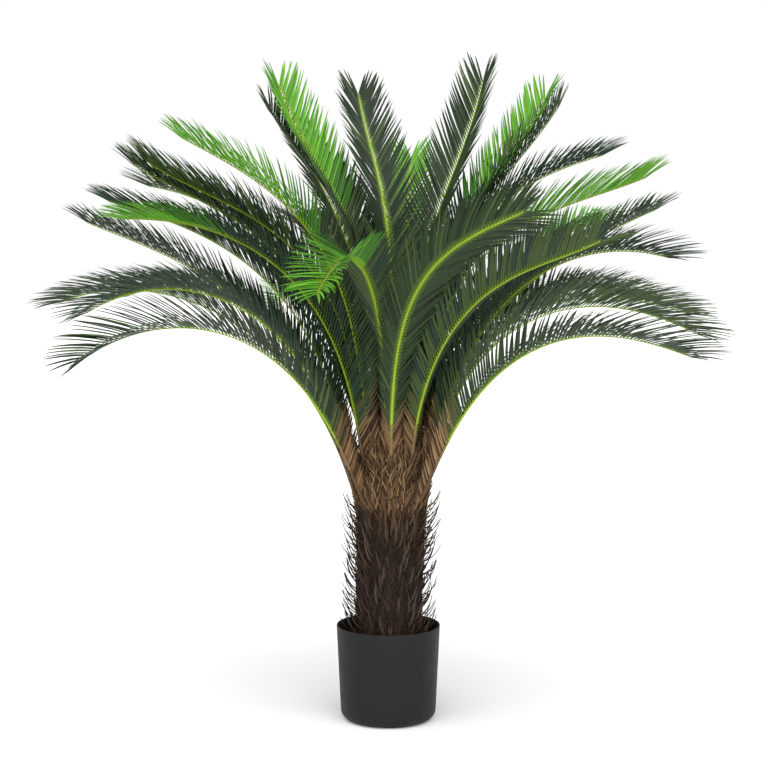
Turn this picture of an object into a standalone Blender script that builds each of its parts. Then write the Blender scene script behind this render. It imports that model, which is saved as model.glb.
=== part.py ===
"""Artificial sago palm, 1.3 m tall, standing in its plain round black pot.

The model is in metres with +Z up. The origin is the middle of the pot's flat
underside, and the front of the plant looks along -Y.

The pot is a thin shell with a cement weight in it. The trunk stands on the
weight and ends in a stepped head, and the stalk of each frond stands on one
step of that head. A frond is a thin folded blade that follows the arch of its
rib. The fronds that arch low are made in two lengths, split at the bend.
"""

import math
from itertools import combinations

import bmesh
import bpy
from mathutils import Matrix, Vector
from mathutils.bvhtree import BVHTree

# Gap that separate solids keep where they rest on each other, and the distance
# under which the points of a turned shape that meet on its axis become one.
SEAT_GAP = 0.0003
MERGE_DISTANCE = 0.00001

# Pot: outside sizes, wall and rounded lower edge.
POT_HEIGHT = 0.185
POT_RIM_RADIUS = 0.100
POT_FOOT_RADIUS = 0.0915
POT_EDGE_RADIUS = 0.020
POT_WALL = 0.0025
POT_FLOOR = 0.003
POT_EDGE_STEPS = 3
POT_FACETS = 48

# Cement weight in the pot.
FILL_TOP = 0.125

# Trunk: radii from the cement up to the head, and how far it leans to +X.
TRUNK_FOOT_RADIUS = 0.0665
TRUNK_WAIST_RADIUS = 0.066
TRUNK_WAIST_HEIGHT = 0.235
TRUNK_TOP_RADIUS = 0.075
TRUNK_LEAN = 0.02
TRUNK_RING_SHARES = (0.66, 0.33)
TRUNK_FACETS = 32

# Steps of the trunk's head, outside to inside: name, outer radius, step height
# and the radius at which the stalks stand.
HEAD_STEPS = (
    ("low", TRUNK_TOP_RADIUS, 0.430, 0.069),
    ("mid", 0.062, 0.465, 0.055),
    ("top", 0.048, 0.505, 0.040),
    ("core", 0.031, 0.545, 0.023),
)

# One frond: rib length, reach of the end leaflets past the rib, widths across
# the leaflets and how round the outline narrows to its end, thickness at rib
# and edge, the fold of the two halves, and the factor that turns a lag at a
# quarter of the length into the third-power term of the bend.
RIB_LENGTH = 0.76
END_REACH = 0.058
STALK_HALF_WIDTH = 0.006
BLADE_HALF_WIDTH = 0.077
WIDENING_ENDS = 0.38
NARROWING_STARTS = 0.58
NARROWING_POWER = 0.5
END_HALF_WIDTH = 0.004
RIB_THICKNESS = 0.0036
EDGE_THICKNESS = 0.0016
FOLD_DEG = 38.0
LAG_FACTOR = 32.0 / 3.0
BLADE_SEGMENTS = 12
SPLIT_AT = 6
RIB_STEPS_PER_SEGMENT = 8

# Clear space between blades, the narrowest half width that is left where fronds
# crowd each other, and how much the earlier and the later row of a pair that
# meets narrow in one round.
BLADE_CLEARANCE = 0.0012
NARROWEST_HALF_WIDTH = 0.0045
NARROWING_STEPS = (0.96, 0.90)
NARROWING_ROUNDS = 80

# Fronds, those at the front and in the outline first. Each row has the head
# step, the azimuth of the stalk (0 is +X, 90 is +Y), how far the rib turns
# sideways, its elevation at the stalk, half-way and at the tip, how far the blade
# rolls to its left about the rib at the tip, how much steeper the rib still is at
# a quarter of its length than an even bend would have it, all in degrees, the
# leaf colour, and whether it is made in two lengths.
FRONDS = (
    ("mid", 268, 47, 81, 46, 19, 60, 6, "dark", True),
    ("mid", 212, -26, 77, 52, -1, 0, 6, "bright", True),
    ("mid", 307, 0, 83, 38, 21, 25, 8, "dark", True),
    ("low", 218, -4, 66, 31, -30, 20, 3, "dark", True),
    ("low", 320, -5, 61, 29, -14, 0, 7, "dark", True),
    ("low", 197, 13, 72, 41, -29, 0, 4, "dark", True),
    ("low", 342, -13, 78, 34, -23, 0, 8, "dark", True),
    ("mid", 169, 4, 59, 43, 22, 0, 7, "dark", True),
    ("mid", 16, 6, 83, 43, 21, 0, 1, "dark", False),
    ("mid", 340, -22, 67, 46, -12, 0, 6, "dark", True),
    ("top", 255, 2, 84, 37, -22, 0, 12, "bright", True),
    ("top", 349, 3, 75, 52, 23, 0, 14, "bright", False),
    ("top", 158, 0, 62, 53, 8, 0, 6, "dark", False),
    ("mid", 190, -2, 64, 52, 18, 0, 10, "dark", True),
    ("top", 202, -18, 67, 54, 36, 0, 17, "dark", False),
    ("top", 180, 15, 73, 51, 32, 0, 11, "dark", False),
    ("top", 222, -31, 67, 63, 28, 0, 11, "bright", False),
    ("core", 23, 16, 89, 57, 60, 0, 6, "bright", False),
    ("core", 158, -32, 87, 64, 62, 0, 10, "bright", False),
    ("core", 104, 1, 89, 68, 58, 0, 17, "dark", False),
    ("core", 58, -10, 89, 62, 73, 0, 5, "dark", False),
    ("top", 14, 0, 72, 63, 16, 0, 11, "dark", False),
    ("top", 38, -33, 70, 66, 58, 0, 11, "dark", False),
    ("top", 125, 27, 84, 66, 60, 0, 14, "dark", False),
    ("top", 106, 16, 82, 52, 38, 0, 0, "dark", False),
    ("top", 84, 2, 80, 48, 40, 0, 0, "bright", False),
    ("low", 13, -3, 82, 34, -18, 0, 8, "dark", True),
    ("low", 36, 2, 74, 36, -24, 0, 0, "dark", True),
    ("low", 62, -3, 76, 34, -28, 0, 0, "dark", True),
    ("low", 88, 3, 74, 37, -22, 0, 0, "dark", True),
    ("low", 114, -2, 72, 33, -26, 0, 0, "bright", True),
    ("low", 148, 4, 76, 36, -20, 0, 0, "dark", True),
    ("low", 183, 0, 74, 38, -22, 0, 0, "dark", True),
    ("mid", 38, 3, 78, 44, 6, 0, 0, "bright", False),
    ("mid", 63, -4, 78, 48, -2, 0, 0, "dark", False),
    ("mid", 88, 4, 76, 42, 10, 0, 0, "dark", False),
    ("mid", 114, -3, 78, 46, 0, 0, 0, "dark", False),
    ("mid", 139, 3, 76, 44, 8, 0, 0, "dark", False),
)

# Finish of each material: colour, roughness, metallic.
FINISHES = {
    "black_pot_plastic": ((0.020, 0.020, 0.022, 1.0), 0.55, 0.0),
    "grey_cement": ((0.30, 0.29, 0.27, 1.0), 0.95, 0.0),
    "brown_trunk_fibre": ((0.055, 0.035, 0.022, 1.0), 0.90, 0.0),
    "dark_green_leaf": ((0.030, 0.072, 0.032, 1.0), 0.50, 0.0),
    "bright_green_leaf": ((0.105, 0.300, 0.045, 1.0), 0.50, 0.0),
}
LEAF_MATERIALS = {"dark": "dark_green_leaf", "bright": "bright_green_leaf"}


def clear_objects():
    """Remove every object of the open scene."""
    for item in list(bpy.data.objects):
        bpy.data.objects.remove(item, do_unlink=True)


def make_material(name):
    """Return the named Principled material."""
    colour, roughness, metallic = FINISHES[name]
    material = bpy.data.materials.new(name)
    material.use_nodes = True
    shader = material.node_tree.nodes["Principled BSDF"]
    shader.inputs["Base Color"].default_value = colour
    shader.inputs["Roughness"].default_value = roughness
    shader.inputs["Metallic"].default_value = metallic
    material.diffuse_color = colour
    return material


def add_object(name, mesh, collection, material):
    """Add a mesh as a named object with one material."""
    mesh.materials.append(material)
    item = bpy.data.objects.new(name, mesh)
    collection.objects.link(item)
    return item


def turned_object(name, profile, facets, collection, material):
    """Turn a profile in the XZ plane, given from top to bottom, round the Z axis."""
    mesh = bpy.data.meshes.new(name)
    edges = [(i, i + 1) for i in range(len(profile) - 1)]
    mesh.from_pydata([(radius, 0.0, height) for radius, height in profile], edges, [])
    item = add_object(name, mesh, collection, material)
    screw = item.modifiers.new("turn", "SCREW")
    screw.axis = "Z"
    screw.angle = math.tau
    screw.screw_offset = 0.0
    screw.steps = facets
    screw.render_steps = facets
    screw.use_merge_vertices = True
    screw.merge_threshold = MERGE_DISTANCE
    screw.use_smooth_shade = True
    return item


def pot_outer_radius(height):
    """Radius of the pot's straight outer side at a height."""
    share = height / POT_HEIGHT
    return POT_FOOT_RADIUS + (POT_RIM_RADIUS - POT_FOOT_RADIUS) * share


def rounded_edge(radius, inset):
    """Points down the pot's rounded lower edge, offset inwards by an inset."""
    points = []
    centre_radius = pot_outer_radius(radius) - radius
    for step in range(POT_EDGE_STEPS + 1):
        angle = math.radians(90.0) * step / POT_EDGE_STEPS
        reach = radius - inset
        points.append((centre_radius + reach * math.cos(angle), radius - reach * math.sin(angle)))
    return points


def make_pot(collection, material):
    """Thin-walled pot, open at the top."""
    inner_edge = rounded_edge(POT_EDGE_RADIUS, POT_FLOOR)
    outer_edge = rounded_edge(POT_EDGE_RADIUS, 0.0)
    profile = [(0.0, POT_FLOOR)]
    profile += list(reversed(inner_edge))
    profile.append((POT_RIM_RADIUS - POT_WALL, POT_HEIGHT))
    profile.append((POT_RIM_RADIUS, POT_HEIGHT))
    profile += outer_edge
    profile.append((0.0, 0.0))
    return turned_object("pot", profile, POT_FACETS, collection, material)


def make_fill(collection, material):
    """Cement weight that fills the lower part of the pot."""
    inner_edge = rounded_edge(POT_EDGE_RADIUS, POT_FLOOR + SEAT_GAP)
    start_radius, start_height = inner_edge[0]
    share = (FILL_TOP - start_height) / (POT_HEIGHT - start_height)
    rim_radius = POT_RIM_RADIUS - POT_WALL - SEAT_GAP
    top_radius = start_radius + (rim_radius - start_radius) * share
    profile = [(0.0, FILL_TOP), (top_radius, FILL_TOP)]
    profile += inner_edge
    profile.append((0.0, POT_FLOOR + SEAT_GAP))
    return turned_object("pot_cement_weight", profile, POT_FACETS, collection, material)


def trunk_shift(height):
    """How far the leaning trunk's axis has moved to +X at a height."""
    return TRUNK_LEAN * (height - FILL_TOP)


def make_trunk(collection, material):
    """Leaning trunk with a flat foot and the stepped head that holds the fronds."""
    profile = [(0.0, HEAD_STEPS[-1][2])]
    for index in range(len(HEAD_STEPS) - 1, -1, -1):
        radius, height = HEAD_STEPS[index][1:3]
        profile.append((radius, height))
        if index > 0:
            profile.append((radius, HEAD_STEPS[index - 1][2]))
    foot = FILL_TOP + SEAT_GAP
    rise = HEAD_STEPS[0][2] - TRUNK_WAIST_HEIGHT
    for share in TRUNK_RING_SHARES:
        radius = TRUNK_WAIST_RADIUS + (TRUNK_TOP_RADIUS - TRUNK_WAIST_RADIUS) * share
        profile.append((radius, TRUNK_WAIST_HEIGHT + rise * share))
    profile += [(TRUNK_WAIST_RADIUS, TRUNK_WAIST_HEIGHT), (TRUNK_FOOT_RADIUS, foot), (0.0, foot)]
    turned = turned_object("trunk_turned", profile, TRUNK_FACETS, collection, material)
    view = bpy.context.evaluated_depsgraph_get()
    mesh = bpy.data.meshes.new_from_object(turned.evaluated_get(view))
    bpy.data.objects.remove(turned, do_unlink=True)
    lean = Matrix.Identity(4)
    lean[0][2] = TRUNK_LEAN
    lean[0][3] = -TRUNK_LEAN * FILL_TOP
    mesh.transform(lean)
    mesh.name = "trunk"
    item = bpy.data.objects.new("trunk", mesh)
    collection.objects.link(item)
    return item


def rib_direction(row, share):
    """Unit direction of a frond's rib at a share of its length, and its azimuth."""
    azimuth, turn, launch, middle, tip, _, lag = row[1:8]
    share = min(share, 1.0)
    elevation = launch * (1.0 - share) * (1.0 - 2.0 * share)
    elevation += middle * 4.0 * share * (1.0 - share)
    elevation += tip * share * (2.0 * share - 1.0)
    elevation += lag * LAG_FACTOR * share * (1.0 - share) * (1.0 - 2.0 * share)
    rise = math.radians(elevation)
    heading = math.radians(azimuth + turn * share)
    level = math.cos(rise)
    return Vector((level * math.cos(heading), level * math.sin(heading), math.sin(rise))), heading


def rib_frames(row):
    """Point, tangent, side and upper-face direction at each station of a frond."""
    step_height, stand_radius = next(step[2:4] for step in HEAD_STEPS if step[0] == row[0])
    azimuth = math.radians(row[1])
    height = step_height + SEAT_GAP
    point = Vector((stand_radius * math.cos(azimuth), stand_radius * math.sin(azimuth), height))
    point.x += trunk_shift(height)
    length = (RIB_LENGTH + END_REACH) / BLADE_SEGMENTS
    frames = []
    for station in range(BLADE_SEGMENTS + 1):
        along = length * station
        tangent, heading = rib_direction(row, along / RIB_LENGTH)
        level = Vector((-math.sin(heading), math.cos(heading), 0.0))
        roll = math.radians(row[6] * along / RIB_LENGTH)
        side = level * math.cos(roll) - tangent.cross(level) * math.sin(roll)
        frames.append((point.copy(), tangent, side, tangent.cross(side)))
        for step in range(RIB_STEPS_PER_SEGMENT):
            middle = along + length * (step + 0.5) / RIB_STEPS_PER_SEGMENT
            direction, _ = rib_direction(row, middle / RIB_LENGTH)
            point += direction * length / RIB_STEPS_PER_SEGMENT
    return frames


def half_width(station):
    """Half width of the frond's outline at a station."""
    total = RIB_LENGTH + END_REACH
    along = total * station / BLADE_SEGMENTS
    rise = min(along / WIDENING_ENDS, 1.0)
    rise = rise * rise * (3.0 - 2.0 * rise)
    width = STALK_HALF_WIDTH + (BLADE_HALF_WIDTH - STALK_HALF_WIDTH) * rise
    if along > NARROWING_STARTS:
        share = (along - NARROWING_STARTS) / (total - NARROWING_STARTS)
        width *= max(1.0 - share * share, 0.0) ** NARROWING_POWER
    return max(width, END_HALF_WIDTH)


def section(frame, left, right, margin):
    """Six corners of the folded blade across one station, widened by a margin."""
    point, _, side, upper = frame
    fold = math.radians(FOLD_DEG)
    across = math.cos(fold)
    rise = math.sin(fold)
    rib = upper * (RIB_THICKNESS / 2.0 + margin)
    edge = upper * (EDGE_THICKNESS / 2.0 + margin)
    left_edge = point + (side * across + upper * rise) * (left + margin)
    right_edge = point + (upper * rise - side * across) * (right + margin)
    return [
        left_edge + edge,
        point + rib,
        right_edge + edge,
        right_edge - edge,
        point - rib,
        left_edge - edge,
    ]


def blade_mesh(name, frames, widths, first, last, margin):
    """Closed mesh of a blade between two stations, and the place of each face."""
    builder = bmesh.new()
    rings = []
    for station in range(first, last + 1):
        frame = frames[station]
        corners = section(frame, widths[station][0], widths[station][1], margin)
        if station == 0:
            level = frame[0].z
            corners = [c + frame[1] * (level - c.z) / frame[1].z for c in corners]
        elif station == first:
            corners = [c + frame[1] * SEAT_GAP / 2.0 for c in corners]
        elif station == last and last < BLADE_SEGMENTS:
            corners = [c - frame[1] * SEAT_GAP / 2.0 for c in corners]
        rings.append([builder.verts.new(c) for c in corners])
    sides = (0, 1, 1, 1, 0, 0)
    places = []
    for index in range(len(rings) - 1):
        low, high = rings[index], rings[index + 1]
        for corner in range(6):
            after = (corner + 1) % 6
            builder.faces.new((low[corner], low[after], high[after], high[corner]))
            places.append((first + index, sides[corner]))
    for ring, forward in ((rings[0], False), (rings[-1], True)):
        halves = ((ring[0], ring[1], ring[4], ring[5]), (ring[1], ring[2], ring[3], ring[4]))
        for half in halves:
            builder.faces.new(half if forward else tuple(reversed(half)))
            places.append((last - 1 if forward else first, 0))
    mesh = bpy.data.meshes.new(name)
    builder.to_mesh(mesh)
    builder.free()
    return mesh, places


def mesh_tree(mesh):
    """Search tree of a mesh's faces."""
    corners = [vertex.co for vertex in mesh.vertices]
    return BVHTree.FromPolygons(corners, [tuple(face.vertices) for face in mesh.polygons])


def clear_widths(crown):
    """Half widths of every frond, narrowed on the sides where two of them meet."""
    stations = range(BLADE_SEGMENTS + 1)
    widths = [[[half_width(station)] * 2 for station in stations] for _ in crown]
    guards = [None] * len(crown)
    changed = set(range(len(crown)))
    for _ in range(NARROWING_ROUNDS):
        for index in changed:
            mesh, places = blade_mesh(
                "guard", crown[index], widths[index], 0, BLADE_SEGMENTS, BLADE_CLEARANCE / 2.0
            )
            guards[index] = (mesh_tree(mesh), places)
            bpy.data.meshes.remove(mesh)
        touched = {}
        for first, second in combinations(range(len(crown)), 2):
            if first not in changed and second not in changed:
                continue
            for pair in guards[first][0].overlap(guards[second][0]):
                for index, face, step in zip((first, second), pair, NARROWING_STEPS):
                    touched[(index,) + guards[index][1][face]] = step
        if not touched:
            break
        changed = {key[0] for key in touched}
        for (index, station, side), step in touched.items():
            for end in (station, station + 1):
                narrowed = widths[index][end][side] * step
                widths[index][end][side] = max(narrowed, NARROWEST_HALF_WIDTH)
    return widths


def make_fronds(collection, materials):
    """Every frond of the crown, as one blade or as an inner and an outer length."""
    crown = [rib_frames(row) for row in FRONDS]
    counts = {}
    for row, frames, widths in zip(FRONDS, crown, clear_widths(crown)):
        ring, colour, in_two = row[0], row[8], row[9]
        counts[ring] = counts.get(ring, 0) + 1
        name = f"frond_{ring}_{counts[ring]:02d}"
        pieces = [(name, 0, BLADE_SEGMENTS)]
        if in_two:
            pieces = [(name + "_inner", 0, SPLIT_AT), (name + "_outer", SPLIT_AT, BLADE_SEGMENTS)]
        for piece, first, last in pieces:
            mesh, _ = blade_mesh(piece, frames, widths, first, last, 0.0)
            add_object(piece, mesh, collection, materials[LEAF_MATERIALS[colour]])


def main():
    """Build the whole plant in its own collection."""
    clear_objects()
    collection = bpy.data.collections.new("artificial_sago_palm")
    bpy.context.scene.collection.children.link(collection)
    materials = {name: make_material(name) for name in FINISHES}
    make_pot(collection, materials["black_pot_plastic"])
    make_fill(collection, materials["grey_cement"])
    make_trunk(collection, materials["brown_trunk_fibre"])
    make_fronds(collection, materials)


main()
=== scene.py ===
"""Looks of an artificial sago palm, 1.3 m tall, in its plain black pot.

Moulded plastic fronds with separate leaflets rise from a head of brown leaf
bases, on a trunk that is wrapped in brown strips under columns of spikes that
hook upwards. The pot is a thin moulded shell with a cement weight in it.
Everything is in metres with +Z up, the front of the plant looks along -Y, and
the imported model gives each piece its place.
"""

import logging
import math
from dataclasses import dataclass, field
from enum import Enum

import bpy
import numpy as np
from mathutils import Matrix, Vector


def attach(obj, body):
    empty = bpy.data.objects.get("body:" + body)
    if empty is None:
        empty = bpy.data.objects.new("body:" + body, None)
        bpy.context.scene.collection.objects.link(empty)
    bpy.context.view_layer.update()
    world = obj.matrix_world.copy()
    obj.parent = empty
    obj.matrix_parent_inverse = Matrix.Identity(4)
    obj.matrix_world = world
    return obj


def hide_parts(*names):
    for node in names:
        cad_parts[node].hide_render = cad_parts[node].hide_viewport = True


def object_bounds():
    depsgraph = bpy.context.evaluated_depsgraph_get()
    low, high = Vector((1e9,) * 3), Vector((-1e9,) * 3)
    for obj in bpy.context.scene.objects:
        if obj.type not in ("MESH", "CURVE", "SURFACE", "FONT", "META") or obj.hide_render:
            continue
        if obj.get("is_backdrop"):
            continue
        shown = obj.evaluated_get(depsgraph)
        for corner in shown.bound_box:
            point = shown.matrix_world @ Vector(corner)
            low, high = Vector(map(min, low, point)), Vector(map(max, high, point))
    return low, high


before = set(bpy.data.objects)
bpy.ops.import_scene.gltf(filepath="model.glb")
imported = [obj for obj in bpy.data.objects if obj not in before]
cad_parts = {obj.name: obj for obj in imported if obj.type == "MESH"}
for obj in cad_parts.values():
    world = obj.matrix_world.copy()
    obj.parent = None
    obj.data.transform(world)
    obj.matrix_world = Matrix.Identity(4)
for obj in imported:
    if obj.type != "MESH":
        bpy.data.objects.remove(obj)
cad_low, cad_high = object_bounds()

LOG = logging.getLogger("sago_palm")
BODY = "root"
MM = 0.001
UP = np.array([0.0, 0.0, 1.0])

Array = np.ndarray
Colour = tuple[float, float, float, float]
Socket = bpy.types.NodeSocket

# Seeds of the random draws, so that every run gives the same plant.
SEEDS = {"fronds": 5000, "core": 77, "strips": 41, "spikes": 63, "bases": 29}


def linear(hex_colour: str) -> Colour:
    """Turn an sRGB hex colour into the linear values that shaders take.

    Args:
        hex_colour: The colour as "#rrggbb".

    Returns:
        Linear red, green, blue and an alpha of 1.
    """
    parts = [int(hex_colour[i : i + 2], 16) / 255.0 for i in (1, 3, 5)]
    values = [p / 12.92 if p <= 0.04045 else ((p + 0.055) / 1.055) ** 2.4 for p in parts]
    return (values[0], values[1], values[2], 1.0)


def unit(vectors: Array) -> Array:
    """Scale vectors to a length of 1."""
    return vectors / np.linalg.norm(vectors, axis=-1, keepdims=True)


def smooth_step(share: Array) -> Array:
    """Ease a share from 0 to 1, flat at both ends."""
    held = np.clip(share, 0.0, 1.0)
    return held * held * (3.0 - 2.0 * held)


def rising(values: Array, limits: tuple[float, float]) -> Array:
    """Ease up from 0 at the first limit to 1 at the second."""
    return smooth_step((values - limits[0]) / (limits[1] - limits[0]))


@dataclass
class Shading:
    """Node tree of a material or of the world, and the patterns that it is built from.

    Attributes:
        tree: The node tree.
        shader: Node of the tree that the patterns feed.
    """

    tree: bpy.types.NodeTree
    shader: bpy.types.Node

    def add(
        self,
        kind: str,
        settings: dict[str, object] | None = None,
        links: dict[str, Socket] | None = None,
    ) -> bpy.types.Node:
        """Add a node with its settings and links.

        Args:
            kind: The node's type name.
            settings: Values by input name, or by property name where there is no such input.
            links: Output sockets by the name of the input that they feed.

        Returns:
            The new node.
        """
        node = self.tree.nodes.new(kind)
        for name, value in (settings or {}).items():
            if name in node.inputs:
                node.inputs[name].default_value = value
            else:
                setattr(node, name, value)
        for name, source in (links or {}).items():
            self.tree.links.new(source, node.inputs[name])
        return node

    def feed(self, name: str, source: Socket) -> None:
        """Link a socket to an input of the shader."""
        self.tree.links.new(source, self.shader.inputs[name])

    def place(self, kind: str = "Object") -> Socket:
        """Return coordinates, in the piece's own frame unless another kind is named."""
        return self.add("ShaderNodeTexCoord").outputs[kind]

    def height(self, place: Socket) -> Socket:
        """Return the height of a place."""
        return self.add("ShaderNodeSeparateXYZ", {}, {"Vector": place}).outputs["Z"]

    def noise(
        self,
        place: Socket,
        scale: float,
        detail: float,
        roughness: float = 0.5,
        distortion: float = 0.0,
    ) -> Socket:
        """Return noise, by the names that the settings of its node have."""
        settings = {"Scale": scale, "Detail": detail}
        settings |= {"Roughness": roughness, "Distortion": distortion}
        return self.add("ShaderNodeTexNoise", settings, {"Vector": place}).outputs["Fac"]

    def ranged(
        self,
        value: Socket,
        start: tuple[float, float],
        end: tuple[float, float] = (0.0, 1.0),
        kind: str = "LINEAR",
    ) -> Socket:
        """Map a value from a start range to an end range."""
        settings = {"interpolation_type": kind, "From Min": start[0], "From Max": start[1]}
        settings |= {"To Min": end[0], "To Max": end[1]}
        return self.add("ShaderNodeMapRange", settings, {"Value": value}).outputs["Result"]

    def ramp(self, value: Socket, *stops: tuple[float, str]) -> Socket:
        """Colour a value by two stops, each a position and an sRGB hex colour."""
        node = self.add("ShaderNodeValToRGB", {}, {"Fac": value})
        for element, (position, colour) in zip(node.color_ramp.elements, stops):
            element.position = position
            element.color = linear(colour)
        return node.outputs["Color"]

    def mix(self, factor: Socket, first: Socket | Colour, second: Socket | Colour) -> Socket:
        """Mix two colours, each one plain or from a socket."""
        node = self.add("ShaderNodeMix", {"data_type": "RGBA"}, {"Factor": factor})
        for name, source in (("A", first), ("B", second)):
            if isinstance(source, tuple):
                node.inputs[name].default_value = source
            else:
                self.tree.links.new(source, node.inputs[name])
        return node.outputs["Result"]

    def bump(self, height: Socket, strength: float, distance: float) -> None:
        """Raise the surface by a height from a socket."""
        settings = {"Strength": strength, "Distance": distance}
        node = self.add("ShaderNodeBump", settings, {"Height": height})
        self.feed("Normal", node.outputs["Normal"])

# Finishes


@dataclass(frozen=True)
class Finish:
    """A finish with one colour all over, as moulded leaf plastic has.

    Attributes:
        name: Material name.
        colour: sRGB hex colour.
        roughness: Roughness of the surface.
        ior: Index of refraction.
        specular: Strength of the reflection, below 0.5 on a dusty or dry surface.
    """

    name: str
    colour: str
    roughness: float = 0.45
    ior: float = 1.5
    specular: float = 0.22

    def material(self) -> bpy.types.Material:
        """Return the material, made on first use."""
        found = bpy.data.materials.get(self.name)
        if found is not None:
            return found
        made = bpy.data.materials.new(self.name)
        made.use_nodes = True
        shader = made.node_tree.nodes["Principled BSDF"]
        shader.inputs["Base Color"].default_value = linear(self.colour)
        shader.inputs["Roughness"].default_value = self.roughness
        shader.inputs["IOR"].default_value = self.ior
        shader.inputs["Specular IOR Level"].default_value = self.specular
        made.diffuse_color = linear(self.colour)
        self.dress(Shading(made.node_tree, shader))
        return made

    def dress(self, shading: Shading) -> None:
        """Add what a patterned finish needs. A plain one needs nothing."""


@dataclass(frozen=True)
class MouldedPotPlastic(Finish):
    """Injection-moulded polypropylene: matt black with a faint spark-eroded grain.

    The grain breaks up the reflections, so the side shows a broad soft sheen,
    and handling leaves slightly smoother patches.

    Attributes:
        grain_mm: Size of the moulded grain, drawn coarser than the real 0.3 mm to show.
        patch_mm: Size of the rubbed patches.
        tints: sRGB hex colours that the black varies between.
        dullness: Roughness that it varies between.
    """

    grain_mm: float = 1.2
    patch_mm: float = 45.0
    tints: tuple[str, str] = ("#111112", "#161616")
    dullness: tuple[float, float] = (0.50, 0.62)

    def dress(self, shading: Shading) -> None:
        """Add the grain, the rubbed patches and a faint unevenness of the black."""
        place = shading.place()
        patch = shading.noise(place, scale=1.0 / (self.patch_mm * MM), detail=3.0, roughness=0.6)
        shading.feed("Roughness", shading.ranged(patch, (0.35, 0.7), self.dullness))
        first, second = (linear(tint) for tint in self.tints)
        shading.feed("Base Color", shading.mix(patch, first, second))
        grain = shading.noise(place, scale=1.0 / (self.grain_mm * MM), detail=1.0)
        shading.bump(grain, strength=0.10, distance=0.0002)


@dataclass(frozen=True)
class CastCement(Finish):
    """Cement poured into the pot: dull grey, with sand grains and small air holes.

    Attributes:
        sand_mm: Size of the sand grains.
        hole_mm: Spacing of the air holes.
    """

    sand_mm: float = 1.5
    hole_mm: float = 9.0

    def dress(self, shading: Shading) -> None:
        """Add the mottled grey, the sand and the air holes."""
        place = shading.place()
        sand = shading.noise(place, scale=1.0 / (self.sand_mm * MM), detail=4.0, roughness=0.7)
        spacing = {"Scale": 1.0 / (self.hole_mm * MM)}
        holes = shading.add("ShaderNodeTexVoronoi", spacing, {"Vector": place})
        depth = shading.ranged(holes.outputs["Distance"], (0.10, 0.22))
        shading.feed("Base Color", shading.ramp(sand, (0.0, "#5b5853"), (1.0, "#8f8b84")))
        height = shading.add("ShaderNodeMath", {"operation": "MULTIPLY"})
        shading.tree.links.new(sand, height.inputs[0])
        shading.tree.links.new(depth, height.inputs[1])
        shading.bump(height.outputs["Value"], strength=0.8, distance=0.0015)


@dataclass(frozen=True)
class FibreMat(Finish):
    """Brown plastic fibre pressed round the trunk: dull, streaked up and down.

    Attributes:
        fibre_mm: Width of a fibre bundle.
        streak: How many times longer than wide a streak is.
        top_colour: Colour at the head, which faded to tan.
        fade_from: Height where the tan begins, in metres.
        fade_to: Height where it is full, in metres.
    """

    fibre_mm: float = 2.2
    streak: float = 14.0
    top_colour: str = "#5d4731"
    fade_from: float = 0.34
    fade_to: float = 0.47

    def dress(self, shading: Shading) -> None:
        """Add streaks of light and dark fibre and the tan of the head."""
        place = shading.place()
        across = 1.0 / (self.fibre_mm * MM)
        scale = (across, across, across / self.streak)
        along = shading.add("ShaderNodeMapping", {"Scale": scale}, {"Vector": place})
        fibre = shading.noise(
            along.outputs["Vector"], scale=1.0, detail=5.0, roughness=0.65, distortion=0.4
        )
        low = shading.ramp(fibre, (0.30, "#17110d"), (0.72, self.colour))
        high = shading.ramp(fibre, (0.28, "#241a11"), (0.70, self.top_colour))
        fade = shading.ranged(shading.height(place), (self.fade_from, self.fade_to))
        shading.feed("Base Color", shading.mix(fade, low, high))
        shading.bump(fibre, strength=0.9, distance=0.0016)


@dataclass(frozen=True)
class PaintedFloor(Finish):
    """Studio floor painted with white emulsion, with a trace of roller texture."""

    def dress(self, shading: Shading) -> None:
        """Add the roller texture."""
        nap = shading.noise(shading.place(), scale=220.0, detail=2.0)
        shading.bump(nap, strength=0.03, distance=0.0004)


# Moulded polyethylene leaf plastic has a soft satin gloss. Each colour is one
# batch of plastic, and the lime one is sprayed on at the rib.
RIB_LIME = Finish("leaf_rib_lime_polyethylene", "#879f22", 0.45)
RIB_OLIVE = Finish("leaf_rib_olive_polyethylene", "#6f6f2e", 0.50)
RIB_TAN = Finish("leaf_stalk_tan_polyethylene", "#715a3c", 0.60)
RIB_BROWN = Finish("leaf_stalk_brown_polyethylene", "#54402a", 0.65)
ROOT_LIME = Finish("leaflet_root_lime_polyethylene", "#74901f", 0.48)
FADE_DARK = Finish("leaflet_fade_dark_polyethylene", "#40581f", 0.48)
FADE_BRIGHT = Finish("leaflet_fade_bright_polyethylene", "#639424", 0.48)
BASE_TAN = Finish("leaf_base_tan_polyethylene", "#83694a", 0.70)
BASE_BROWN = Finish("leaf_base_brown_polyethylene", "#694e33", 0.75)
BASE_DARK = Finish("leaf_base_dark_polyethylene", "#3a2a1b", 0.80)
BASE_OLIVE = Finish("leaf_base_olive_polyethylene", "#46472a", 0.65)
MIDDLE_GREEN = Finish("leaflet_middle_green_polyethylene", "#3a6a1e", 0.48)
DARK_GREENS = (
    Finish("leaflet_dark_green_polyethylene", "#27391e", 0.46),
    Finish("leaflet_deep_green_polyethylene", "#1b2a16", 0.44),
    Finish("leaflet_olive_green_polyethylene", "#3d4e29", 0.50),
    Finish("leaflet_blue_green_polyethylene", "#24382a", 0.44),
)
BRIGHT_GREENS = (
    Finish("leaflet_bright_green_polyethylene", "#559222", 0.48),
    Finish("leaflet_fresh_green_polyethylene", "#609e2a", 0.48),
    Finish("leaflet_grass_green_polyethylene", "#437c20", 0.50),
)
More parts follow.
